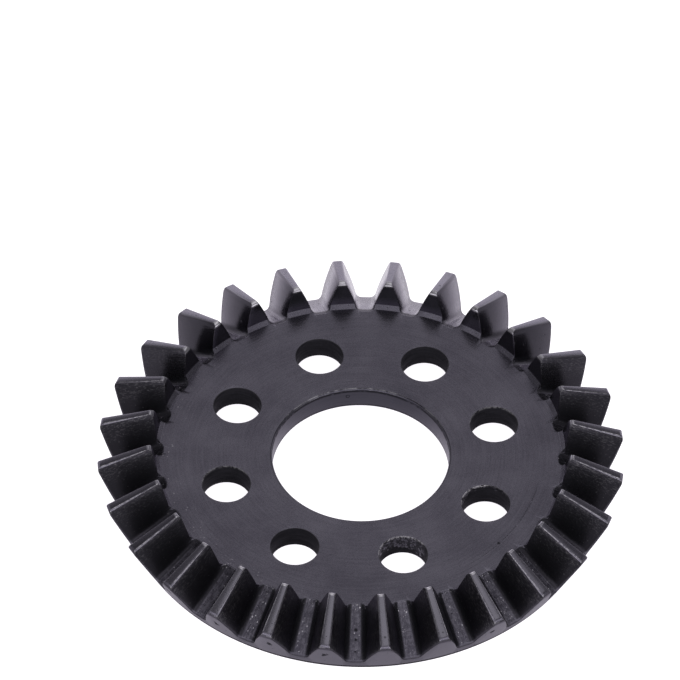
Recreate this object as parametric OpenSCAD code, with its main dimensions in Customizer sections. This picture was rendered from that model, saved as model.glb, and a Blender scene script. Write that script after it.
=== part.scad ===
// Straight-tooth bevel gear: a toothed rim round a thin drilled web, with a plain bore.
// Millimetres. Z is the axis, the teeth face up and z = 0 is the flat back of the rim.

/* [Teeth] */
// Diameter of the pitch circle at the heel, the large end of the teeth
pitch_diameter = 91.2; // [84:0.1:104]
// Number of teeth
teeth = 28; // [24:1:30]
// Teeth of the mating pinion, which sets the pitch cone
pinion_teeth = 14; // [12:1:18]
// Pressure angle of the flanks
pressure_angle = 20; // [18:0.5:24]
// Face width along the pitch cone
face_width = 10.7; // [8:0.1:11.5]
// Tooth height above the pitch cone at the heel
addendum = 3.85; // [3.2:0.05:4.2]
// Tooth height above the pitch cone at the toe
toe_addendum = 3.1; // [2.6:0.05:3.5]
// Tooth depth below the pitch cone at the heel
dedendum = 3.65; // [3.2:0.05:4.1]
// Tooth depth below the pitch cone at the toe
toe_dedendum = 2.75; // [2.4:0.05:3.2]
// Extra gap on each flank at the toe
toe_relief = 0.1; // [0:0.05:0.4]
// Play on each flank along the whole tooth
flank_play = 0.21; // [0:0.01:0.3]
// Radius where the flanks run into the root
root_fillet = 1.1; // [0.4:0.05:1.2]
// Radius along the long edges of the top land at the heel
tip_round = 0.65; // [0.2:0.05:0.75]
// Radius along the long edges of the top land at the toe
toe_tip_round = 0.3; // [0.15:0.05:0.45]
// Turn of the teeth against the bolt holes
tooth_turn = 0.7; // [-6:0.1:6]

/* [Rim] */
// Height of the pitch circle above the back face
pitch_height = 6.4; // [5.5:0.1:6.9]
// Lean of the toe faces, measured from the web face
toe_angle = 79; // [66:1:88]
// Lean of the heel faces, measured from the axis
heel_angle = 25; // [22:0.5:27]
// Height of the bevelled step at the foot of the toe faces
toe_step = 0.7; // [0.3:0.1:1]
// Corner radius of the tooth tips at the heel
heel_round = 1; // [0.3:0.05:1.4]
// Corner radius of the tooth tips at the toe
toe_round = 0.8; // [0.2:0.05:1]
// Bevel on the lower outer edge of the rim
rim_chamfer = 0.3; // [0.1:0.05:0.6]
// Inner radius of the flat back ring
recess_radius = 33; // [30.5:0.25:36]
// Corner radius inside the back recess
recess_fillet = 1; // [0.4:0.1:2]

/* [Web] */
// Height of the web face above the back of the rim
web_height = 8.5; // [7.8:0.1:9]
// Thickness of the web
web_thickness = 4.5; // [3.5:0.1:5.5]

/* [Bore and holes] */
// Bore diameter
bore_diameter = 31.6; // [20:0.1:36]
// Edge break at both ends of the bore
bore_chamfer = 0.25; // [0.1:0.05:0.5]
// Number of bolt holes
hole_count = 8; // [4:1:10]
// Diameter of the bolt circle
hole_circle = 50; // [47:0.5:51]
// Bolt hole diameter
hole_diameter = 8.5; // [5:0.25:9]
// Edge break of the holes on the web face
hole_chamfer = 0.1; // [0.05:0.05:0.4]
// Edge break of the holes in the back recess
hole_back_chamfer = 0.25; // [0.1:0.05:0.8]

/* [Smoothness] */
// Facets round a full turn
turn_facets = 84; // [56:28:140]
// Facets round the circle of each rounded corner
corner_facets = 16; // [16:8:24]
// Steps along each flank, fillet and rounded edge
flank_steps = 3; // [2:1:4]

/* [Hidden] */
pitch_radius = pitch_diameter / 2;
pitch_angle = atan2(teeth, pinion_teeth);
cone_distance = pitch_radius / sin(pitch_angle);
toe_scale = 1 - face_width / cone_distance;
virtual_radius = pitch_radius / cos(pitch_angle);
base_radius = virtual_radius * cos(pressure_angle);
half_pitch = 180 / teeth * cos(pitch_angle);
// How far a cut runs past the surface that it leaves
over = 2;

// Point in the axial section: s along the pitch cone from the heel, y square to it
function section_point(s, y) = [
    pitch_radius - s * sin(pitch_angle) + y * cos(pitch_angle),
    pitch_height + s * cos(pitch_angle) + y * sin(pitch_angle)
];

heel_tip = section_point(0, addendum);
toe_tip = section_point(face_width, toe_addendum);
heel_root = section_point(0, -dedendum);
toe_root = section_point(face_width, -toe_dedendum);
back_edge = [heel_tip[0] - heel_tip[1] * tan(heel_angle), 0];
toe_foot = [toe_tip[0] - (toe_tip[1] - web_height - toe_step) / tan(toe_angle), web_height + toe_step];
run_out = face_width * (web_height - heel_root[1]) / (toe_root[1] - heel_root[1]);
reach = max(run_out, face_width) + over;

// Involute of the equivalent spur gear on the back cone
function involute(a) = tan(a) * 180 / PI - a;
function gap_angle(rho) =
    half_pitch / 2 - involute(pressure_angle) + involute(acos(min(1, base_radius / rho)));
function flank_point(y, k, ease) =
    let (rho = virtual_radius + y / k, a = gap_angle(rho))
    [k * rho * sin(a) + ease, k * (rho * cos(a) - virtual_radius)];
function lean(p, q) = atan2(q[0] - p[0], q[1] - p[1]);

// Right half of a tooth gap, from the root up past the top land
function gap_half(k, ease, depth, height, tip_radius) =
    let (
        root = flank_point(-depth, k, ease),
        tip = flank_point(height, k, ease),
        root_lean = lean(root, flank_point(-depth + root_fillet, k, ease)),
        tip_lean = lean(flank_point(height - tip_radius, k, ease), tip),
        root_x = root[0] + root_fillet * tan(root_lean) - root_fillet / cos(root_lean),
        root_y = root[1] + root_fillet,
        tip_x = tip[0] - tip_radius * tan(tip_lean) + tip_radius / cos(tip_lean),
        tip_y = tip[1] - tip_radius,
        from = -depth + root_fillet * (1 - sin(root_lean)),
        to = height - tip_radius * (1 - sin(tip_lean)),
        last = 115,
        turn = 180 - tip_lean - last
    )
    concat(
        [for (i = [0 : flank_steps])
            let (a = -90 + (90 - root_lean) * i / flank_steps)
            [root_x + root_fillet * cos(a), root_y + root_fillet * sin(a)]],
        [for (i = [1 : flank_steps - 1])
            flank_point(from + (to - from) * i / flank_steps, k, ease)],
        [for (i = [0 : flank_steps])
            let (a = 180 - tip_lean - turn * i / flank_steps)
            [tip_x + tip_radius * cos(a), tip_y + tip_radius * sin(a)]],
        [[
            tip_x + tip_radius * cos(last) + over * sin(last),
            tip_y + tip_radius * sin(last) - over * cos(last)
        ]]
    );

function place(p, s) =
    let (q = section_point(s, p[1]))
    [q[0], p[0], q[1]];

// Solid that cuts one gap, drawn out past the heel and past its run-out in the web
module gap_cutter() {
    heel = gap_half(1, flank_play, dedendum, addendum, tip_round);
    toe = gap_half(toe_scale, flank_play + toe_relief, toe_dedendum, toe_addendum, toe_tip_round);
    n = len(heel);
    heel_points = [for (side = [1, -1], p = heel) place([side * p[0], p[1]], 0)];
    toe_points = [for (side = [1, -1], p = toe) place([side * p[0], p[1]], face_width)];
    steps = toe_points - heel_points;
    outer = heel_points - steps * over / face_width;
    inner = heel_points + steps * reach / face_width;
    m = 2 * n;
    sides = [for (i = [0 : n - 2]) each [
        [i, i + 1, m + i + 1],
        [i, m + i + 1, m + i],
        [n + i, m + n + i + 1, n + i + 1],
        [n + i, m + n + i, m + n + i + 1]
    ]];
    ends = [for (i = [0 : n - 2]) each [
        [i, n + i + 1, i + 1],
        [i, n + i, n + i + 1],
        [m + i, m + i + 1, m + n + i + 1],
        [m + i, m + n + i + 1, m + n + i]
    ]];
    caps = [
        [0, m + n, n],
        [0, m, m + n],
        [n - 1, m - 1, m + m - 1],
        [n - 1, m + m - 1, m + n - 1]
    ];
    polyhedron(points = concat(outer, inner), faces = concat(sides, ends, caps));
}

// Arc that rounds the corner of a profile between the sides from a and to b
function rounded(a, corner, b, radius) =
    let (
        to_a = (a - corner) / norm(a - corner),
        to_b = (b - corner) / norm(b - corner),
        half = acos(to_a * to_b) / 2,
        centre = corner + (to_a + to_b) / norm(to_a + to_b) * radius / sin(half),
        start = corner + to_a * radius / tan(half) - centre,
        turn = (180 - 2 * half) * -sign(cross(to_a, to_b)),
        steps = ceil(abs(turn) * corner_facets / 360)
    )
    [for (i = [0 : steps])
        let (t = turn * i / steps)
        centre + [start[0] * cos(t) - start[1] * sin(t), start[0] * sin(t) + start[1] * cos(t)]];

// Half section of the turned blank
module blank_section() {
    floor_height = web_height - web_thickness;
    polygon(concat(
        [[0, floor_height]],
        rounded([0, floor_height], [recess_radius, floor_height], [recess_radius, 0], recess_fillet),
        [
            [recess_radius, 0],
            back_edge - [rim_chamfer, 0],
            back_edge + rim_chamfer * [sin(heel_angle), cos(heel_angle)]
        ],
        rounded(back_edge, heel_tip, toe_tip, heel_round),
        rounded(heel_tip, toe_tip, toe_foot, toe_round),
        [
            toe_foot,
            [toe_foot[0] - toe_step, web_height],
            [0, web_height]
        ]
    ));
}

// Round hole through the web with its edges broken at both faces
module web_hole(diameter, top_break, back_break) {
    bottom = web_height - web_thickness;
    translate([0, 0, bottom - over])
        cylinder(d = diameter, h = web_thickness + 2 * over);
    translate([0, 0, web_height - top_break])
        cylinder(d1 = diameter, d2 = diameter + 4 * top_break, h = 2 * top_break);
    translate([0, 0, bottom - back_break])
        cylinder(d1 = diameter + 4 * back_break, d2 = diameter, h = 2 * back_break);
}

module bevel_gear() {
    color([0.28, 0.27, 0.31])
    difference() {
        rotate_extrude($fn = turn_facets) blank_section();
        web_hole(bore_diameter, bore_chamfer, bore_chamfer, $fn = turn_facets);
        for (i = [0 : hole_count - 1])
            rotate(i * 360 / hole_count)
                translate([hole_circle / 2, 0, 0])
                    web_hole(hole_diameter, hole_chamfer, hole_back_chamfer, $fn = 32);
        for (i = [0 : teeth - 1])
            rotate(tooth_turn + (i + 0.5) * 360 / teeth)
                gap_cutter();
    }
}

bevel_gear();
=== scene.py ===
import math
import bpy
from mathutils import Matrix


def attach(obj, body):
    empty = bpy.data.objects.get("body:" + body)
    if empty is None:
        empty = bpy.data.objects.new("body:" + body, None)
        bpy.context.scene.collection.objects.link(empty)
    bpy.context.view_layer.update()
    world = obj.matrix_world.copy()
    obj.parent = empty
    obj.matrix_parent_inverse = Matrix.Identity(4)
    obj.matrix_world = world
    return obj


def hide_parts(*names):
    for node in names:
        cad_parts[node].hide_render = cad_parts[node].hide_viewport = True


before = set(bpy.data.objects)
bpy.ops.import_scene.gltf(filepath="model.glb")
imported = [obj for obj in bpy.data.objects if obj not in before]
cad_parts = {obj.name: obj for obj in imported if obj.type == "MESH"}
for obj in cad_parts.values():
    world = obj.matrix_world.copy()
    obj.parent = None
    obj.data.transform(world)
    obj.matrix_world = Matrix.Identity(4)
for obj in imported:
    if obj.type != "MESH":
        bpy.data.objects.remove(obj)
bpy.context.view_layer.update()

from types import SimpleNamespace
import bpy
import bmesh
from mathutils import Vector, Matrix

mm = 0.001
weld = 0.002 * mm  # points closer than this become one
fullTurn = 2 * math.pi
print("frame loaded:", sorted(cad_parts))


def clearSelection():
    if bpy.context.object and bpy.context.object.mode != "OBJECT":
        bpy.ops.object.mode_set(mode="OBJECT")
    bpy.ops.object.select_all(action="DESELECT")


def pick(obj):
    clearSelection()
    obj.select_set(True)
    bpy.context.view_layer.objects.active = obj


def editAll(obj):  # edit mode with the whole mesh selected
    pick(obj)
    bpy.ops.object.mode_set(mode="EDIT")
    bpy.ops.mesh.select_all(action="SELECT")


def leaveEdit():
    bpy.ops.object.mode_set(mode="OBJECT")


def drawChain(name, points, closed=True):  # one vertex, then extruded from point to point
    clearSelection()
    bpy.ops.mesh.primitive_plane_add(size=mm, location=points[0])
    obj = bpy.context.object
    obj.name = name
    bpy.ops.object.transform_apply(location=True, rotation=True, scale=True)
    editAll(obj)
    bpy.ops.mesh.select_mode(type="VERT")
    bpy.ops.mesh.merge(type="CENTER")
    here = Vector(points[0])
    for point in points[1:]:
        step = Vector(point) - here
        bpy.ops.mesh.extrude_vertices_move(TRANSFORM_OT_translate={"value": step})
        here = Vector(point)
    if closed:
        mesh = bmesh.from_edit_mesh(obj.data)
        mesh.verts.ensure_lookup_table()
        for vert in mesh.verts:
            vert.select = len(vert.link_edges) == 1
        mesh.select_flush_mode()
        bmesh.update_edit_mesh(obj.data)
        bpy.ops.mesh.edge_face_add()
    leaveEdit()
    return obj


def turnProfile(obj, steps):  # lathe an open or closed chain round Z
    editAll(obj)
    bpy.ops.mesh.spin(steps=steps, angle=fullTurn, axis=(0, 0, 1), center=(0, 0, 0))
    bpy.ops.mesh.select_all(action="SELECT")
    bpy.ops.mesh.remove_doubles(threshold=weld)
    bpy.ops.mesh.normals_make_consistent(inside=False)
    leaveEdit()


def repeatRound(obj, count):  # copies of the whole mesh round Z
    editAll(obj)
    bpy.ops.mesh.spin(steps=count - 1, angle=fullTurn * (count - 1) / count,
                      dupli=True, axis=(0, 0, 1), center=(0, 0, 0))
    leaveEdit()


def cutAway(obj, cutter):
    pick(obj)
    cut = obj.modifiers.new("cut", "BOOLEAN")
    cut.operation = "DIFFERENCE"
    cut.solver = "EXACT"
    cut.object = cutter
    bpy.ops.object.modifier_apply(modifier="cut")
    pick(cutter)
    bpy.ops.object.delete()


def roundedCorner(before, corner, after, radius, steps):  # arc that replaces a sharp profile corner
    corner = Vector(corner)
    toBefore = (Vector(before) - corner).normalized()
    toAfter = (Vector(after) - corner).normalized()
    half = toBefore.angle(toAfter) / 2
    centre = corner + (toBefore + toAfter).normalized() * radius / math.sin(half)
    start = corner + toBefore * radius / math.tan(half) - centre
    end = corner + toAfter * radius / math.tan(half) - centre
    sweep = start.angle_signed(end)
    return [centre + Matrix.Rotation(-sweep * i / steps, 2) @ start for i in range(steps + 1)]


# Turned blank, sizes in millimetres as in the CAD model
blank = {
    "teeth": 28, "pinionTeeth": 14, "pitchDiameter": 91.2, "faceWidth": 10.7,
    "addendum": 3.85, "toeAddendum": 3.1, "pitchHeight": 6.4,
    "toeAngle": 79, "heelAngle": 25, "toeStep": 0.7,
    "heelRound": 1.0, "heelSteps": 7, "toeRound": 0.8, "toeSteps": 5, "rimChamfer": 0.3,
    "recessRadius": 33, "recessBreak": 0.3, "recessFillet": 1.0, "filletSteps": 6,
    "webHeight": 8.5, "webThickness": 4.5, "webRings": (20.5, 25, 29.5, 33),
    "boreRadius": 15.8, "boreChamfer": 0.25, "steps": 168,
}

pitchRadius = blank["pitchDiameter"] / 2
pitchAngle = math.atan2(blank["teeth"], blank["pinionTeeth"])
coneDistance = pitchRadius / math.sin(pitchAngle)


def sectionPoint(along, above):  # along the pitch cone from the heel, and square to it
    return Vector((pitchRadius - along * math.sin(pitchAngle) + above * math.cos(pitchAngle),
                   blank["pitchHeight"] + along * math.cos(pitchAngle) + above * math.sin(pitchAngle)))


def makeBlank():
    web = blank["webHeight"]
    floor = web - blank["webThickness"]
    bore, chamfer = blank["boreRadius"], blank["boreChamfer"]
    recess, recessBreak = blank["recessRadius"], blank["recessBreak"]
    heelTip = sectionPoint(0, blank["addendum"])
    toeTip = sectionPoint(blank["faceWidth"], blank["toeAddendum"])
    footHeight = web + blank["toeStep"]
    toeReach = (toeTip.y - footHeight) / math.tan(math.radians(blank["toeAngle"]))
    toeFoot = Vector((toeTip.x - toeReach, footHeight))
    lean = math.radians(blank["heelAngle"])
    backEdge = Vector((heelTip.x - heelTip.y * math.tan(lean), 0))
    rimBevel = backEdge + Vector((math.sin(lean), math.cos(lean))) * blank["rimChamfer"]
    profile = [Vector((bore + chamfer, floor)), Vector((bore, floor + chamfer)),
               Vector((bore, web - chamfer)), Vector((bore + chamfer, web))]
    profile += [Vector((radius, web)) for radius in blank["webRings"]]
    profile += [Vector((toeFoot.x - blank["toeStep"], web)), toeFoot]
    profile += roundedCorner(toeFoot, toeTip, heelTip, blank["toeRound"], blank["toeSteps"])
    profile += roundedCorner(toeTip, heelTip, backEdge, blank["heelRound"], blank["heelSteps"])
    profile += [rimBevel, backEdge - Vector((blank["rimChamfer"], 0))]
    profile += [Vector((recess + recessBreak, 0)), Vector((recess, recessBreak))]
    profile += roundedCorner((recess, 0), (recess, floor), (bore, floor),
                             blank["recessFillet"], blank["filletSteps"])
    made = drawChain("bevelGear", [(p.x * mm, 0, p.y * mm) for p in profile])
    turnProfile(made, blank["steps"])
    return made


gear = makeBlank()
print("blank turned:", len(gear.data.polygons), "faces")

# Tooth gap: involute flanks, root fillet and rounded top edges
gap = {
    "pressureAngle": 20, "dedendum": 3.65, "toeDedendum": 2.75, "toeRelief": 0.1, "flankPlay": 0.21,
    "rootFillet": 1.1, "tipRound": 0.65, "toeTipRound": 0.3, "lipAngle": 108,
    "turn": 0.7, "steps": 6, "over": 2.0, "overToe": 3.0,
}


def gapHalf(scale, ease, depth, height, rounding):
    alpha = math.radians(gap["pressureAngle"])
    virtual = pitchRadius / math.cos(pitchAngle)
    base = virtual * math.cos(alpha)
    halfPitch = math.pi / blank["teeth"] * math.cos(pitchAngle)

    def flank(y):
        rho = virtual + y / scale
        turn = math.acos(min(1, base / rho))
        angle = halfPitch / 2 - (math.tan(alpha) - alpha) + (math.tan(turn) - turn)
        return Vector((scale * rho * math.sin(angle) + ease,
                       scale * (rho * math.cos(angle) - virtual)))

    def lean(p, q):
        return math.atan2(q.x - p.x, q.y - p.y)

    def arc(centre, radius, start, end):
        turns = [start + (end - start) * i / steps for i in range(steps + 1)]
        return [centre + Vector((math.cos(a), math.sin(a))) * radius for a in turns]

    fillet, steps = gap["rootFillet"], gap["steps"]
    root, tip = flank(-depth), flank(height)
    rootLean = lean(root, flank(-depth + fillet))
    tipLean = lean(flank(height - rounding), tip)
    rootShift = fillet * math.tan(rootLean) - fillet / math.cos(rootLean)
    tipShift = rounding / math.cos(tipLean) - rounding * math.tan(tipLean)
    low = -depth + fillet * (1 - math.sin(rootLean))
    high = height - rounding * (1 - math.sin(tipLean))
    lip = math.radians(gap["lipAngle"])
    rootCentre = Vector((root.x + rootShift, root.y + fillet))
    tipCentre = Vector((tip.x + tipShift, tip.y - rounding))
    points = arc(rootCentre, fillet, -math.pi / 2, -rootLean)
    points += [flank(low + (high - low) * i / steps) for i in range(1, steps)]
    points += arc(tipCentre, rounding, math.pi - tipLean, lip)
    points.append(points[-1] + Vector((math.sin(lip), -math.cos(lip))) * gap["over"])
    return points


def makeGaps():
    width = blank["faceWidth"]
    toeScale = 1 - width / coneDistance
    heel = gapHalf(1, gap["flankPlay"], gap["dedendum"], blank["addendum"], gap["tipRound"])
    toe = gapHalf(toeScale, gap["flankPlay"] + gap["toeRelief"], gap["toeDedendum"],
                  blank["toeAddendum"], gap["toeTipRound"])

    def loop(half, along):
        whole = [Vector((-p.x, p.y)) for p in reversed(half)] + half
        out = []
        for p in whole:
            q = sectionPoint(along, p.y)
            out.append(Vector((q.x, p.x, q.y)) * mm)
        return out

    heelLoop, toeLoop = loop(heel, 0), loop(toe, width)
    outer = [a + (a - b) * gap["over"] / width for a, b in zip(heelLoop, toeLoop)]
    inner = [b + (b - a) * gap["overToe"] / width for a, b in zip(heelLoop, toeLoop)]
    cutter = drawChain("gapOuter", outer)
    far = drawChain("gapInner", inner)
    pick(cutter)
    far.select_set(True)
    bpy.ops.object.join()
    editAll(cutter)
    bpy.ops.mesh.select_mode(type="EDGE")
    bpy.ops.mesh.bridge_edge_loops()
    mesh = bmesh.from_edit_mesh(cutter.data)
    for edge in mesh.edges:
        edge.select = edge.is_boundary
    mesh.select_flush_mode()
    bmesh.update_edit_mesh(cutter.data)
    bpy.ops.mesh.edge_face_add()
    bpy.ops.mesh.select_all(action="SELECT")
    bpy.ops.mesh.normals_make_consistent(inside=False)
    turn = math.radians(gap["turn"]) + math.pi / blank["teeth"]
    bpy.ops.transform.rotate(value=-turn, orient_axis="Z", center_override=(0, 0, 0))
    leaveEdit()
    repeatRound(cutter, blank["teeth"])
    return cutter


cutters = makeGaps()
print("gap cutters:", len(cutters.data.polygons), "faces")
cutAway(gear, cutters)
print("teeth cut:", len(gear.data.polygons), "faces")

# Bolt holes with broken edges at the back
hole = {"count": 8, "circle": 25, "radius": 4.25, "backBreak": 0.25, "over": 1, "steps": 72}


def makeHoles():
    over, radius, back = hole["over"], hole["radius"], hole["backBreak"]
    top, bottom = blank["webHeight"], blank["webHeight"] - blank["webThickness"]
    profile = [(0, bottom - over), (radius + back + over, bottom - over), (radius, bottom + back),
               (radius, top + over), (0, top + over)]
    cutter = drawChain("holeCutter", [(r * mm, 0, z * mm) for r, z in profile], closed=False)
    turnProfile(cutter, hole["steps"])
    editAll(cutter)
    bpy.ops.transform.translate(value=(hole["circle"] * mm, 0, 0))
    leaveEdit()
    repeatRound(cutter, hole["count"])
    return cutter


cutAway(gear, makeHoles())
print("holes cut:", len(gear.data.polygons), "faces")


class Wire:  # a socket that takes part in Python sums
    def __init__(self, tree, socket=None):
        self.tree = tree
        self.socket = socket

    def add(self, kind, settings=None, inputs=None, out=0):
        made = self.tree.nodes.new(kind)
        for key, value in (settings or {}).items():
            setattr(made, key, value)
        for key, value in (inputs or {}).items():
            if isinstance(value, Wire):
                self.tree.links.new(value.socket, made.inputs[key])
            else:
                made.inputs[key].default_value = value
        return Wire(self.tree, made.outputs[out])

    def out(self, name):
        return Wire(self.tree, self.socket.node.outputs[name])

    def sum(self, operation, first, second=0.0, third=0.0):
        return self.add("ShaderNodeMath", {"operation": operation}, {0: first, 1: second, 2: third})

    def __add__(self, other):
        return self.sum("ADD", self, other)

    def __sub__(self, other):
        return self.sum("SUBTRACT", self, other)

    def __mul__(self, other):
        return self.sum("MULTIPLY", self, other)

    def __truediv__(self, other):
        return self.sum("DIVIDE", self, other)

    def __rsub__(self, other):
        return self.sum("SUBTRACT", other, self)

    def __rtruediv__(self, other):
        return self.sum("DIVIDE", other, self)

    __radd__ = __add__
    __rmul__ = __mul__

    def size(self):
        return self.sum("ABSOLUTE", self)

    def hypot(self, other):
        return self.sum("SQRT", self * self + other * other)

    def most(self, first, *others):  # the largest of several
        for other in others:
            first = self.sum("MAXIMUM", first, other)
        return first

    def between(self, low, high):  # 0 below low, 1 above high
        return self.add("ShaderNodeMapRange", {"interpolation_type": "SMOOTHSTEP"},
                        {"Value": self, "From Min": low, "From Max": high})

    def below(self, low, high):  # 1 below low, 0 above high
        return 1 - self.between(low, high)

    def band(self, low, high, soft):
        return self.between(low - soft, low + soft) * self.below(high - soft, high + soft)

    def split(self):  # the first of three parts, the others by out
        return self.add("ShaderNodeSeparateXYZ", None, {0: self})

    def vector(self, first, second=0.0, third=0.0):
        return self.add("ShaderNodeCombineXYZ", None, {0: first, 1: second, 2: third})

    def blend(self, first, second, amount):
        return self.add("ShaderNodeMix", {"data_type": "RGBA"}, {0: amount, 6: first, 7: second}, out=2)


# Where the gear's surfaces begin and end, in millimetres and radians
zone = {
    "countFrom": 40, "middle": (-0.01, 0.01), "toeFoot": (36.49, 9.2), "toeLean": 0.1944,
    "facing": (-0.309, -0.951), "front": (0.6, 0.9), "far": (0.3, 0.7), "end": (0.75, 0.97),
    "leeFacing": (0.454, -0.891), "lee": (0.75, 0.93),
    "teeth": (34.9, 35.4), "web": (8.4, 8.6, 0.04), "webEnd": (35.6, 36.0), "bore": (15.85, 16.1),
    "boreEdge": (16.2, 16.4), "hole": (4.3, 4.42), "heel": (0.05, 0.3), "rim": (0.9, 1.2),
    "toeSkin": (0.03, 0.1), "toe": (9.1, 9.3), "toeShade": (9.2, 11.0), "step": (8.54, 9.16, 0.03),
    "gapTop": (8.4, 8.48), "rootWidth": (0.019, 0.026), "rootDepth": (0.5, 0.9),
    "fillet": (0.025, 0.05, 0.004), "filletDepth": (0.6, 1.4),
    "tipTaper": 0.018, "tipEdge": (0.3, 0.38), "tipStart": (0.8, 1.2), "topSkin": (0.02, 0.06),
    "ridge": (0.07, 0.15, 0.03), "underRidge": (0.4, 0.6, 0.06), "wornTop": (0.1, 0.3),
    "cornerCentre": (38.014, 12.843), "cornerSkin": (0.755, 0.785),
    "cornerOut": (0.1, 0.3), "cornerUp": (0.05, 0.2), "cornerFar": (0.35, 0.8), "cornerNear": (0.1, 0.45),
    "runOut": (33.6, 36.6, 0.5), "runOutLow": (7.1, 7.8), "runOutHigh": (8.38, 8.46),
    "scallop": (33.0, 33.4), "scallopWidth": (0.06, 0.075),
}


def findPlaces(wire):  # coordinates on the gear, its teeth and its holes
    at = SimpleNamespace()
    coords = wire.add("ShaderNodeTexCoord", out="Object")
    at.place = wire.add("ShaderNodeVectorMath", {"operation": "SCALE"}, {0: coords, "Scale": 1 / mm})
    at.x = at.place.split()
    at.y, at.z = at.x.out("Y"), at.x.out("Z")
    at.radius = at.x.hypot(at.y)
    at.angle = wire.sum("ARCTAN2", at.y, at.x)
    at.cosine, at.sine = at.x / at.radius, at.y / at.radius

    # on a tooth: which one, across it, along it, above the root and below the top land
    pitch = fullTurn / blank["teeth"]
    width = blank["faceWidth"]
    first = 0.5 - gap["turn"] * blank["teeth"] / 360
    turn = at.angle * (blank["teeth"] / fullTurn) + first + zone["countFrom"]
    at.tooth = wire.sum("FLOOR", turn)
    offset = turn - at.tooth - 0.5
    at.across = offset * at.radius * pitch
    at.aside = (0.5 - offset.size()) * pitch  # angle from the gap's middle
    rightHalf = at.across.between(*zone["middle"])
    at.side = at.tooth + rightHalf * 0.5
    inward, upward = pitchRadius - at.radius, at.z - blank["pitchHeight"]
    at.along = inward * math.sin(pitchAngle) + upward * math.cos(pitchAngle)
    at.above = upward * math.sin(pitchAngle) - inward * math.cos(pitchAngle)
    rootRise = (gap["dedendum"] - gap["toeDedendum"]) / width
    topFall = (blank["addendum"] - blank["toeAddendum"]) / width
    at.overRoot = at.above + gap["dedendum"] - at.along * rootRise
    at.underTop = blank["addendum"] - at.above - at.along * topFall
    footRadius, footHeight = zone["toeFoot"]
    at.overToe = at.radius - footRadius - (at.z - footHeight) * zone["toeLean"]

    # the gear's end toward the camera, its far end and its sides, which set where light and shade are
    # painted
    def facing(way):
        return (at.x * way[0] + at.y * way[1]) / at.radius

    toward = facing(zone["facing"])
    away = toward * -1
    at.front, at.far = toward.between(*zone["front"]), away.between(*zone["far"])
    at.end = away.between(*zone["end"])
    at.sides = (1 - at.front) * (1 - at.far)
    at.lee = facing(zone["leeFacing"]).between(*zone["lee"]) * rightHalf

    # on the nearest hole
    spacing = fullTurn / hole["count"]
    at.nearest = wire.sum("ROUND", at.angle / spacing) * spacing
    at.holeX = at.x - wire.sum("COSINE", at.nearest) * hole["circle"]
    at.holeY = at.y - wire.sum("SINE", at.nearest) * hole["circle"]
    at.holeRadius = at.holeX.hypot(at.holeY)
    return at


def findSurfaces(wire, at):  # a mask for each surface
    on = SimpleNamespace()
    on.teeth = at.radius.between(*zone["teeth"])
    on.web = at.z.band(*zone["web"]) * at.radius.below(*zone["webEnd"])
    on.bore = at.radius.below(*zone["bore"])
    on.boreEdge = at.radius.below(*zone["boreEdge"])
    on.hole = at.holeRadius.below(*zone["hole"])
    on.heel = on.teeth * at.along.below(*zone["heel"])
    # a band along the bottom edge, painted as shade where the gear meets the floor
    on.rim = at.z.below(*zone["rim"])

    offToe = at.overToe.between(*zone["toeSkin"])
    on.toe = (1 - offToe) * at.z.between(*zone["toe"])
    on.step = on.teeth * (1 - offToe) * at.z.band(*zone["step"])
    body = on.teeth * (1 - on.heel) * wire.most(offToe, at.z.below(*zone["gapTop"]))
    offRoot = at.aside.between(*zone["rootWidth"])
    on.root = body * (1 - offRoot) * at.overRoot.below(*zone["rootDepth"])
    on.fillet = (body * at.aside.band(*zone["fillet"]) * at.overRoot.below(*zone["filletDepth"])
                 * (1 - at.end))

    # rounded toe tips
    centreRadius, centreHeight = zone["cornerCentre"]
    outward, upward = at.radius - centreRadius, at.z - centreHeight
    on.corner = (outward.hypot(upward).between(*zone["cornerSkin"])
                 * outward.below(*zone["cornerOut"]) * upward.between(*zone["cornerUp"]))

    # flanks, and the lines along the tops of the teeth
    offTip = (at.underTop + at.along * zone["tipTaper"]).between(*zone["tipEdge"])
    offTop = at.underTop.between(*zone["topSkin"])
    pastHeel = body * at.along.between(*zone["tipStart"])
    on.flank = body * offRoot * offTip * (1 - on.corner)
    on.tip = wire.most(pastHeel * offTop * (1 - offTip), on.corner)
    on.topLand = body * (1 - offTop) * (1 - on.corner)
    # a painted highlight line along the tooth tops, and below it a painted shade line on the side teeth
    on.ridge = pastHeel * at.underTop.band(*zone["ridge"]) * (1 - at.far)
    on.underRidge = pastHeel * at.underTop.band(*zone["underRidge"]) * at.sides

    # where the gaps run out in the web
    overFloor = at.z.between(*zone["runOutLow"])
    on.runOut = at.radius.band(*zone["runOut"]) * overFloor * at.z.below(*zone["runOutHigh"])
    on.scallop = at.radius.between(*zone["scallop"]) * at.aside.below(*zone["scallopWidth"]) * overFloor
    return on


# Tool marks: stretch of the noise along its directions, detail and roughness
texture = {
    "turning": ((3.1, 2.2, 2.2), 4.0, 0.7), "boreRings": ((3.5, 1.4, 1.4), 3.0, 0.6),
    "planing": ((0.5, 4.0, 7.7), 4.0, 0.65), "chatter": ((4.0, 0.6, 5.1), 2.0, 0.6),
    "rootLines": ((4.5, 0.35, 5.3), 3.0, 0.65), "drilling": ((4.5, 0.25, 0.25), 3.0, 0.6),
    "tearLines": ((1.6, 6.0, 7.7), 3.0, 0.6), "around": ((9, 9), 3.0, 0.6),
    "grain": (4.2, 3.0, 0.65), "clump": (1.5, 2.0, 0.6), "cloud": (0.12, 3.0, 0.55), "holeShift": 36,
}
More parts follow.
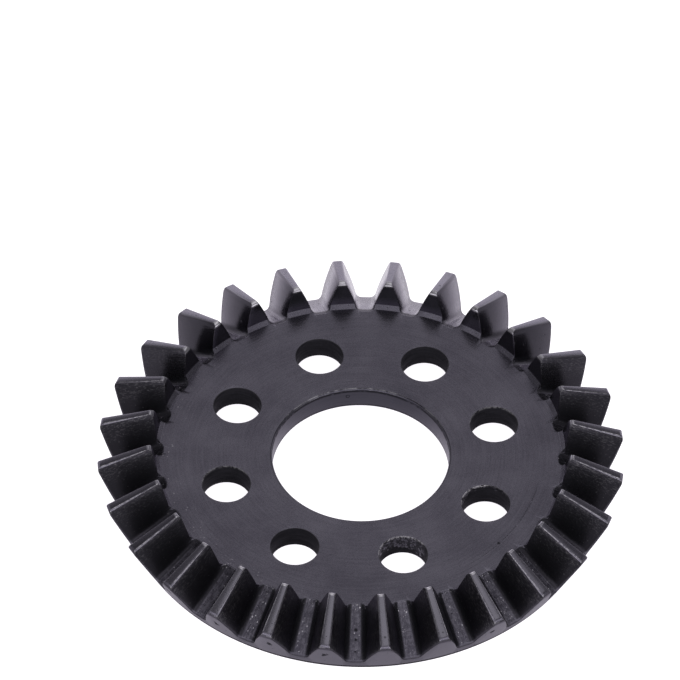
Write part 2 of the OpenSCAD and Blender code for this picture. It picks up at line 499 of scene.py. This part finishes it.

# Pits, specks and damage, and painted shade lines in the bore: cells, places and soft edges
damage = {
    "dotEdge": (0.5, 1.0), "dotSmallest": 0.4, "dotSoft": 0.03,
    "pits": (0.75, 0.2, 0.6), "pitShare": (0.2, 0.5, 0.3), "rough": (0.46, 0.58),
    "gougeShare": (0.2, 0.22), "gougeAcross": (0.6, 2.0, 1.5), "gougeUp": (5.4, 1.4, 1.1),
    "gougeRagged": 2.6, "gougeEdge": (0.55, 0.9),
    "specks": (1.9, 0.15, 0.8), "speckToe": (7, 10), "speckRoot": (0.6, 0.4), "speckRunOut": 0.8,
    "speckFlank": 0.2, "speckWeb": 0.3, "speckRadius": (31.5, 34), "speckAngle": (1.9, 2.6),
    "scribe": (32.1, 32.32, 0.08), "scribeAngle": (-1.2, -0.55, 0.12), "scribeGaps": (0.3, 0.5),
    "boreNick": (2.47, 15.61, 6.76), "boreNickSize": 0.55, "boreNickHeart": 0.3,
    "nicks": (((16.92, -27.28, 8.5), 0.34), ((-12.52, -37.25, 6.03), 0.4), ((-12.94, -38.63, 5.12), 0.3)),
    "holeSpan": 0.1, "holeSoft": 0.05, "tornBack": (0.0, 2.0), "tornRough": (0.3, 0.7),
    "tornFirst": (6.1, 6.7), "tornSecond": (6.8, 7.3), "tornSlope": (-3.5, 1.0), "tornDrop": 1.2,
    "tornSecondShare": 0.7, "tornCloud": 6, "tornClump": 3, "tornSecondClump": 4,
    "burrUp": (8.1, 8.25), "burrBack": (0.5, 2.0), "burrEnd": (1.0, 2.2), "burrGaps": (0.4, 0.52),
    "burrFirst": 0.7, "burrOthers": 0.4, "tearFade": (1.5, 4.5), "tearLines": (0.53, 0.62),
    "boreLine": (7.75, 8.2, 0.06), "boreLineGaps": (0.3, 0.5), "boreFoot": (4.2, 4.6, 0.08),
    "boreFootShare": 0.8, "boreWear": (0.42, 0.6),
}


def makeMarks(wire, at, on):
    mark = SimpleNamespace()

    def noise(spot, scale, detail, rough):
        return wire.add("ShaderNodeTexNoise", None,
                        {"Vector": spot, "Scale": scale, "Detail": detail, "Roughness": rough})

    def lines(name, *ways):  # noise stretched along the given directions
        stretch, detail, rough = texture[name]
        return noise(wire.vector(*[way * by for way, by in zip(ways, stretch)]), 1.0, detail, rough)

    def dots(scale, size, share):  # round dots, one in each cell of a chosen share
        cells = wire.add("ShaderNodeTexVoronoi", {"feature": "F1"},
                         {"Vector": at.place, "Scale": scale, "Randomness": 1.0})
        chance = cells.out("Color").split()
        reach = (damage["dotSmallest"] + chance.out("Y")) * (size * scale)
        chosen = chance.between(1 - share, 1 + damage["dotSoft"] - share)
        return (cells.out("Distance") / reach).below(*damage["dotEdge"]) * chosen

    def nick(spot, size):
        away = wire.add("ShaderNodeVectorMath", {"operation": "DISTANCE"},
                        {0: at.place, 1: spot}, out="Value")
        return (away + (mark.grain - 0.5) * size).below(size * 0.5, size)

    def atHole(number):
        middle = number * fullTurn / hole["count"]
        return at.nearest.band(middle - damage["holeSpan"], middle + damage["holeSpan"], damage["holeSoft"])

    mark.turning = lines("turning", at.radius, at.cosine, at.sine)
    mark.boreRings = lines("boreRings", at.z, at.cosine, at.sine)
    mark.planing = lines("planing", at.along, at.above, at.side)
    mark.chatter = lines("chatter", at.along, at.above, at.side)
    mark.rootLines = lines("rootLines", at.across, at.along, at.tooth)
    mark.drilling = lines("drilling", at.z, at.holeX, at.holeY + at.nearest * texture["holeShift"])
    mark.grain = noise(at.place, *texture["grain"])
    mark.clump = noise(at.place, *texture["clump"])
    mark.cloud = noise(at.place, *texture["cloud"])
    around = lines("around", at.cosine, at.sine)
    rough = mark.clump.between(*damage["rough"])
    clumpShift, cloudShift = mark.clump - 0.5, mark.cloud - 0.5

    # pits all over, one gouge on most heel faces, bright specks
    everywhere, onTeeth, inRoot = damage["pitShare"]
    mark.pits = dots(*damage["pits"]) * (everywhere + onTeeth * on.teeth + inRoot * on.root)
    chance = wire.add("ShaderNodeTexWhiteNoise", {"noise_dimensions": "1D"},
                      {"W": at.tooth}, out="Color").split()
    middle, spread, narrow = damage["gougeAcross"]
    gougeX = (at.across - (chance - middle) * spread) * narrow
    middle, spread, narrow = damage["gougeUp"]
    gougeZ = (at.z - middle - chance.out("Y") * spread) * narrow
    ragged = gougeX.hypot(gougeZ) + clumpShift * damage["gougeRagged"]
    mark.gouges = (on.heel * chance.out("Z").between(*damage["gougeShare"])
                   * ragged.below(*damage["gougeEdge"]))
    rootShare, toeShare = damage["speckRoot"]
    webSpecks = (on.web * at.radius.between(*damage["speckRadius"])
                 * at.angle.size().between(*damage["speckAngle"]))
    mark.specks = dots(*damage["specks"]) * rough * (
        on.root * (rootShare + toeShare * at.along.between(*damage["speckToe"]))
        + on.runOut * at.front * damage["speckRunOut"] + on.flank * (1 - at.far) * damage["speckFlank"]
        + webSpecks * damage["speckWeb"])

    # scribed arc on the web, and single nicks
    mark.scribe = (on.web * at.radius.band(*damage["scribe"]) * at.angle.band(*damage["scribeAngle"])
                   * mark.clump.between(*damage["scribeGaps"]))
    mark.nicks = (nick(damage["boreNick"], damage["boreNickSize"])
                  - nick(damage["boreNick"], damage["boreNickHeart"]))
    for spot, size in damage["nicks"]:
        mark.nicks = nick(spot, size) + mark.nicks

    # two holes with torn walls, burrs at the top of four, torn lines on the flanks
    first, second = atHole(-2), atHole(-1)
    ragged = at.z + cloudShift * damage["tornCloud"] + clumpShift * damage["tornClump"]
    slope = at.holeX.between(*damage["tornSlope"]) * damage["tornDrop"]
    sloped = at.z + clumpShift * damage["tornSecondClump"] - slope
    least, more = damage["tornRough"]
    mark.torn = on.hole * at.holeY.between(*damage["tornBack"]) * (least + more * rough) * (
        first * ragged.between(*damage["tornFirst"])
        + second * sloped.between(*damage["tornSecond"]) * damage["tornSecondShare"])
    mark.burr = on.hole * at.z.between(*damage["burrUp"]) * at.holeY.between(*damage["burrBack"]) * (
        first * damage["burrFirst"] + second * at.holeX.below(*damage["burrEnd"])
        + (atHole(0) + atHole(4)) * damage["burrOthers"]) * mark.clump.between(*damage["burrGaps"])
    tearLines = lines("tearLines", at.along, at.above, at.side).between(*damage["tearLines"])
    mark.tears = on.flank * (1 - at.far) * at.underTop.below(*damage["tearFade"]) * tearLines

    # painted shade lines in the bore, and where the bore edge's worn colour, a painted highlight, is muted:
    # all round except broken bits on the far side
    topLine = at.z.band(*damage["boreLine"]) * around.between(*damage["boreLineGaps"])
    footLine = at.z.band(*damage["boreFoot"]) * damage["boreFootShare"]
    mark.boreLines = on.bore * wire.most(topLine, footLine)
    mark.boreEdge = on.boreEdge * (1 - at.far * around.between(*damage["boreWear"]))
    return mark


# Blackened steel: colours, roughness of each surface, height of each mark. The tip and glint colours are
# painted highlights, the bare metal colour also paints glints, and the soot colour also paints shade
steel = {
    "dark": (0.031, 0.029, 0.038, 1), "light": (0.058, 0.055, 0.068, 1), "bare": (0.34, 0.33, 0.35, 1),
    "soot": (0.005, 0.005, 0.006, 1), "flank": (0.017, 0.016, 0.020, 1), "bore": (0.030, 0.029, 0.039, 1),
    "tip": (0.066, 0.063, 0.074, 1), "glint": (0.17, 0.165, 0.18, 1), "edgeTint": (0.95, 0.92, 1, 1),
    "metal": 0.94, "fade": 0.0,
    "roughness": 0.28, "streakRough": 0.14, "flankRough": 0.06, "farRough": -0.16, "toeRough": -0.1,
    "tipRough": -0.14, "heelRough": 0.2, "holeRough": 0.42, "boreRough": 0.1,
    "bump": 0.00002, "turning": 0.6, "planing": 1.2, "chatter": 0.4, "rootLines": 1.5, "drilling": 1.0,
    "torn": 7.0, "runOut": 4.0, "grain": 0.6, "specks": 2, "pits": 1.8, "gouges": 3, "scribe": 2,
}
# the bevels' colour: lighter worn edges, which also paint a highlight along the edges
worn = dict(steel, dark=(0.055, 0.053, 0.06, 1), light=(0.10, 0.097, 0.106, 1), roughness=0.22, fade=1.0)

# How far each mark moves the shade from dark to light
shading = {
    "range": (0.1, 0.9), "cloud": 0.8, "grain": 0.7, "turning": 0.6, "chatter": 0.5,
    "rootClump": 1.2, "rootLines": 1.4,
}

# How far each colour covers the one below it; the amounts for the tips, top lands, corners and top-edge
# lines paint highlights and shade
cover = {
    "flank": 0.8, "toe": 0.3, "heel": 0.15, "wornTop": 0.8, "tip": 0.7, "tipSides": 0.45, "topLand": 0.6,
    "corner": 0.2, "cornerFar": 0.8, "cornerNear": 0.5, "ridge": 0.25, "ridgeSides": 0.3,
    "ridgeGaps": (0.35, 0.6), "tears": 0.18, "bore": 0.6, "hole": 0.8, "flecks": 0.6, "specks": 0.8,
    "fleckGrain": (0.64, 0.72), "fleckClump": (0.5, 0.6), "fleckRoot": 0.6, "fleckRunOut": 0.6,
    "fleckAll": 0.03,
}

# How far soot and painted shade hide the steel: pits, gouges, scribe and nicks are marks, the rest paint
# shade
dirt = {
    "pits": 0.8, "gouges": 0.85, "scribe": 0.45, "nicks": 0.85, "boreLines": 0.8, "rim": 0.9,
    "underRidge": 0.6, "runOut": 0.6, "fillet": 0.65, "flank": 0.6, "toeSides": 0.25, "toeEnd": 0.8,
    "step": 0.45, "hole": 0.75, "holeLines": 0.7, "holeRange": (0.3, 0.7), "bore": 0.1,
}


def findStreak(on, mark):
    return ((mark.turning - 0.5) * on.web * shading["turning"] + (mark.boreRings - 0.5) * on.bore
            + (mark.planing - 0.5 + (mark.chatter - 0.5) * shading["chatter"]) * on.flank
            + (mark.rootLines - 0.5 + (mark.clump - 0.5) * shading["rootClump"])
            * on.root * shading["rootLines"]
            + (mark.drilling - 0.5) * on.hole)


def findColour(wire, at, on, mark, look, streak):
    clouds = 0.5 + (mark.cloud - 0.5) * shading["cloud"]
    shade = (clouds + streak + (mark.grain - 0.5) * shading["grain"]).between(*shading["range"])
    fade = look["fade"]
    offMiddle = at.across.size()
    # how strong the painted tip highlight is: strongest on the front and far teeth
    ends = cover["tipSides"] + (1 - cover["tipSides"]) * wire.most(at.front, at.far)
    # painted glint strength for the far toe corners, in their middle
    farGlint = at.far * cover["cornerFar"] * offMiddle.below(*zone["cornerFar"])
    ridge = on.ridge * mark.clump.between(*cover["ridgeGaps"])
    flecks = mark.grain.between(*cover["fleckGrain"]) * (
        on.root * mark.clump.between(*cover["fleckClump"]) * cover["fleckRoot"]
        + on.runOut * cover["fleckRunOut"] + mark.torn + cover["fleckAll"])
    layers = (
        (look["flank"], on.flank * cover["flank"] + on.toe * cover["toe"] + on.heel * cover["heel"]),
        # on the worn edge colour only: its painted highlight is muted at the scallops, heels and most of
        # the bore edge
        (steel["flank"], wire.most(on.scallop, on.heel, mark.boreEdge) * fade),
        # on the worn edge colour only: its painted highlight is muted along the tops of the front teeth
        (steel["dark"], at.front * at.underTop.below(*zone["wornTop"]) * (fade * cover["wornTop"])),
        # painted highlight along the tooth tips
        (look["tip"], on.tip * cover["tip"] * ends),
        # top lands: painted shade on the side teeth, painted highlight on the front teeth
        (steel["flank"], on.topLand * at.sides * (cover["topLand"] * (1 - fade))),
        (look["tip"], on.topLand * at.front * (cover["topLand"] * (1 - fade))),
        # painted glints on the rounded toe corners, strongest in the middle on the far teeth
        (look["glint"], on.corner * (cover["corner"] + farGlint)),
        # a painted glint of bright metal in the middle of the front toe corners
        (look["bare"], on.corner * at.front * offMiddle.below(*zone["cornerNear"]) * cover["cornerNear"]),
        # a painted highlight line along the tooth tops, stronger on the side teeth, and real torn marks on
        # the flanks
        (look["bare"], ridge * (cover["ridge"] + cover["ridgeSides"] * at.sides)
         + mark.tears * cover["tears"]),
        (look["bore"], on.bore * cover["bore"]),
        # hole walls darkened with the soot colour: painted shade
        (look["soot"], (on.hole - mark.torn) * cover["hole"]),
        (look["bare"], wire.most(wire.most(flecks, mark.burr) * cover["flecks"],
                                 mark.specks * cover["specks"])),
    )
    colour = wire.blend(look["dark"], look["light"], shade)
    for tint, amount in layers:
        colour = wire.blend(colour, tint, amount)
    return colour


def findRoughness(at, on, mark, look, streak):
    return (look["roughness"] + (streak + mark.grain - 0.5) * look["streakRough"]
            + on.flank * (look["flankRough"] + at.far * look["farRough"]) + on.toe * look["toeRough"]
            + on.tip * look["tipRough"] + on.heel * look["heelRough"]
            + (on.hole - mark.torn) * look["holeRough"] + on.bore * look["boreRough"])


def findHeight(on, mark, look):
    return (mark.turning * on.web * look["turning"] + mark.boreRings * on.bore * look["drilling"]
            + (mark.planing + mark.chatter * look["chatter"]) * on.flank * look["planing"]
            + mark.rootLines * on.root * look["rootLines"] + mark.drilling * on.hole * look["drilling"]
            + mark.clump * mark.torn * look["torn"] + mark.clump * on.runOut * look["runOut"]
            + mark.grain * look["grain"] + mark.specks * look["specks"] - mark.pits * look["pits"]
            - mark.gouges * look["gouges"] - mark.scribe * look["scribe"])


def findDirt(wire, at, on, mark):
    # painted shade on the toe faces at the far end, darker towards the top
    toeEnd = at.end * at.z.between(*zone["toeShade"]) * dirt["toeEnd"]
    holeLines = mark.drilling.between(*dirt["holeRange"]) * dirt["holeLines"]
    return wire.most(
        mark.pits * dirt["pits"], mark.gouges * dirt["gouges"], mark.scribe * dirt["scribe"],
        # nicks are marks; the lines in the bore and the band along the base are painted shade
        mark.nicks * dirt["nicks"], mark.boreLines * dirt["boreLines"], on.rim * dirt["rim"],
        # painted shade below the top-edge highlight on the side teeth, and in the run-outs except at the
        # front
        on.underRidge * dirt["underRidge"], on.runOut * (1 - at.front) * dirt["runOut"],
        # painted shade in the root fillets, except at the far end
        on.fillet * dirt["fillet"],
        # painted shade on the flanks of the side teeth and of the shaded side, and on the toe faces
        on.flank * wire.most(at.sides, at.lee) * dirt["flank"]
        + on.toe * (at.sides * dirt["toeSides"] + toeEnd),
        # painted shade on the steps of the side teeth and in the holes, less along the drilling lines; the
        # bore wall a little darker
        on.step * at.sides * dirt["step"] + (on.hole - mark.torn - mark.burr) * (dirt["hole"] - holeLines)
        + on.bore * dirt["bore"])


def makeSteel(name, look):
    material = bpy.data.materials.new(name)
    material.use_nodes = True
    tree = material.node_tree
    tree.nodes.clear()
    wire = Wire(tree)
    at = findPlaces(wire)
    on = findSurfaces(wire, at)
    mark = makeMarks(wire, at, on)
    streak = findStreak(on, mark)
    bump = wire.add("ShaderNodeBump", None, {
        "Height": findHeight(on, mark, look), "Strength": 1.0, "Distance": look["bump"]})
    metal = wire.add("ShaderNodeBsdfPrincipled", None, {
        "Base Color": findColour(wire, at, on, mark, look, streak),
        "Roughness": findRoughness(at, on, mark, look, streak),
        "Metallic": look["metal"], "Specular Tint": look["edgeTint"], "Normal": bump})
    # a matt black shader mixed over the steel for soot marks and for painted shade
    soot = wire.add("ShaderNodeBsdfPrincipled", None, {
        "Base Color": look["soot"], "Roughness": 1.0, "Specular IOR Level": 0.0})
    surface = wire.add("ShaderNodeMixShader", None, {0: findDirt(wire, at, on, mark), 1: metal, 2: soot})
    tree.links.new(surface.socket, tree.nodes.new("ShaderNodeOutputMaterial").inputs["Surface"])
    return material


# Broken edges all over
edges = {"width": 0.11, "segments": 2, "angle": 40, "merge": 0.012, "clean": 0.002, "smooth": 28}


def mergeClose(obj, distance):  # stays in edit mode
    editAll(obj)
    bpy.ops.mesh.remove_doubles(threshold=distance * mm)
    bpy.ops.mesh.dissolve_degenerate(threshold=distance * mm)


def breakEdges(obj):
    mergeClose(obj, edges["merge"])
    bpy.ops.mesh.select_mode(type="EDGE")
    bpy.ops.mesh.select_all(action="DESELECT")
    mesh = bmesh.from_edit_mesh(obj.data)
    for edge in mesh.edges:  # outer corners only, the inner ones stay as cut
        edge.select = edge.is_convex and edge.calc_face_angle(0) > math.radians(edges["angle"])
    bmesh.update_edit_mesh(obj.data)
    bpy.ops.transform.edge_bevelweight(value=1)
    leaveEdit()
    bevel = obj.modifiers.new("edges", "BEVEL")
    bevel.width = edges["width"] * mm
    bevel.segments = edges["segments"]
    bevel.limit_method = "WEIGHT"
    bevel.use_clamp_overlap = False
    bevel.miter_outer = "MITER_ARC"
    bevel.material = 1
    obj.data.materials.append(makeSteel("blackenedSteel", steel))
    # the bevels get the worn edge colour, which also paints a highlight along the edges
    obj.data.materials.append(makeSteel("wornEdge", worn))
    bpy.ops.object.modifier_apply(modifier="edges")
    mergeClose(obj, edges["clean"])
    leaveEdit()
    bpy.ops.object.shade_smooth_by_angle(angle=math.radians(edges["smooth"]))


breakEdges(gear)
print("edges broken:", len(gear.data.polygons), "faces")

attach(gear, "root")
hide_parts("bevel_gear")

# Pale floor, lit from within like a light table
paper = {
    "size": 6, "colour": (0.22, 0.22, 0.22, 1), "roughness": 0.9, "light": (0.98, 0.95, 1, 1), "glow": 1.03,
}


def makePaper():
    material = bpy.data.materials.new("paleFloor")
    material.use_nodes = True
    sockets = material.node_tree.nodes["Principled BSDF"].inputs
    sockets["Base Color"].default_value = paper["colour"]
    sockets["Roughness"].default_value = paper["roughness"]
    sockets["Emission Color"].default_value = paper["light"]
    sockets["Emission Strength"].default_value = paper["glow"]
    return material


clearSelection()
bpy.ops.mesh.primitive_plane_add(size=paper["size"], location=(0, 0, 0))
floor = bpy.context.object
floor.name = "floor"
floor.data.materials.append(makePaper())
print("floor laid")

# Camera at the photo's angle
view = {
    "place": (-0.23077, -0.70760, 0.82340), "turn": (43.4573, -0.49895, -17.23145),
    "lens": 327.5, "sensor": 36, "nearest": 0.01,
}
bpy.ops.object.camera_add(location=view["place"], rotation=[math.radians(a) for a in view["turn"]])
camera = bpy.context.object
camera.data.lens = view["lens"]
camera.data.sensor_width = view["sensor"]
camera.data.clip_start = view["nearest"]
bpy.context.scene.camera = camera

# Studio light: bright backdrop, dimmer sides, a long panel by the camera, a soft box overhead to the right
light = {
    "colour": (0.99, 0.975, 1, 1), "sides": 0.65, "backLow": 3.4, "backHigh": 1.45,
    "cameraLow": 0.3, "cameraHigh": 1.7, "panel": 5.0, "panelBand": (0.13, 0.5, 0.04),
    "ahead": (0.305, 0.952), "behind": (0.2, 0.65), "near": (-0.65, -0.2),
    "low": (0.2, 0.5), "high": (0.4, 0.6),
    "boxPower": 5.2, "boxSize": 0.9, "boxPlace": (0.2, -0.06, 1.0),
}


def makeLight():
    world = bpy.data.worlds.new("studio")
    bpy.context.scene.world = world
    world.use_nodes = True
    tree = world.node_tree
    tree.nodes.clear()
    wire = Wire(tree)
    x = wire.add("ShaderNodeTexCoord", out="Generated").split()
    up = x.out("Z")
    ahead = x * light["ahead"][0] + x.out("Y") * light["ahead"][1]  # level direction away from the camera
    low, high = up.below(*light["low"]), up.between(*light["high"])
    behind, near = ahead.between(*light["behind"]), ahead.below(*light["near"])

    def sky(end):  # how far one end is above the sides
        return low * (light[end + "Low"] - light["sides"]) + high * (light[end + "High"] - light["sides"])

    strength = light["sides"] + behind * sky("back") + near * sky("camera")
    strength = strength + near * up.band(*light["panelBand"]) * light["panel"]
    shine = wire.add("ShaderNodeBackground", None, {"Color": light["colour"], "Strength": strength})
    tree.links.new(shine.socket, tree.nodes.new("ShaderNodeOutputWorld").inputs["Surface"])
    bpy.ops.object.light_add(type="AREA", location=light["boxPlace"])
    box = bpy.context.object
    box.name = "softBox"
    box.data.energy = light["boxPower"]
    box.data.size = light["boxSize"]


makeLight()
bpy.context.scene.view_settings.view_transform = "Standard"
print("light and camera set")
